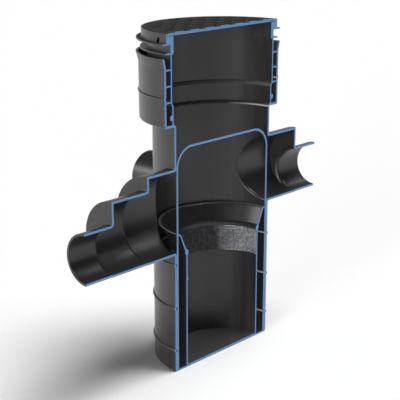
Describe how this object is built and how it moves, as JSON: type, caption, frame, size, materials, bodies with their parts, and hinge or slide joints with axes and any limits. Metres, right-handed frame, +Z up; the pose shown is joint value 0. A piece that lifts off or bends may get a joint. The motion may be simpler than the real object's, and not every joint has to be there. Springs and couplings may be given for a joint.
{
  "type": "silt trap cutaway",
  "caption": "Drainage silt trap cut open down the middle: chamber with stepped spigots, telescopic riser with lid, and a lift-out silt bucket with strainer, funnel and handle.",
  "frame": {"origin": "on the chamber's axis, at the underside of the base, on the cut plane", "axes": "+Z up along the chamber's axis, +X towards the inlet spigot, +Y away from the cut plane towards the back spigot"},
  "size_m": [0.7488, 0.2369, 0.7561],
  "materials": {
    "shell": "satin",
    "riser": "satin",
    "frame": "satin",
    "lid": "matte",
    "bucket": "satin",
    "funnel": "satin",
    "strainer": "woven",
    "handle": "satin black"
  },
  "bodies": {
    "trap": {"body": "shell", "bucket": "bucket", "funnel": "funnel", "strainer": "strainer", "lifting_handle": "handle"},
    "riser": {"riser_tube": "riser", "cover_frame": "frame", "lid": "lid"}
  },
  "joints": [
    {"name": "riser_slide", "type": "slide", "parent": "trap", "child": "riser", "axis": [0, 0, 1], "range_m": [0, 0.068]}
  ]
}
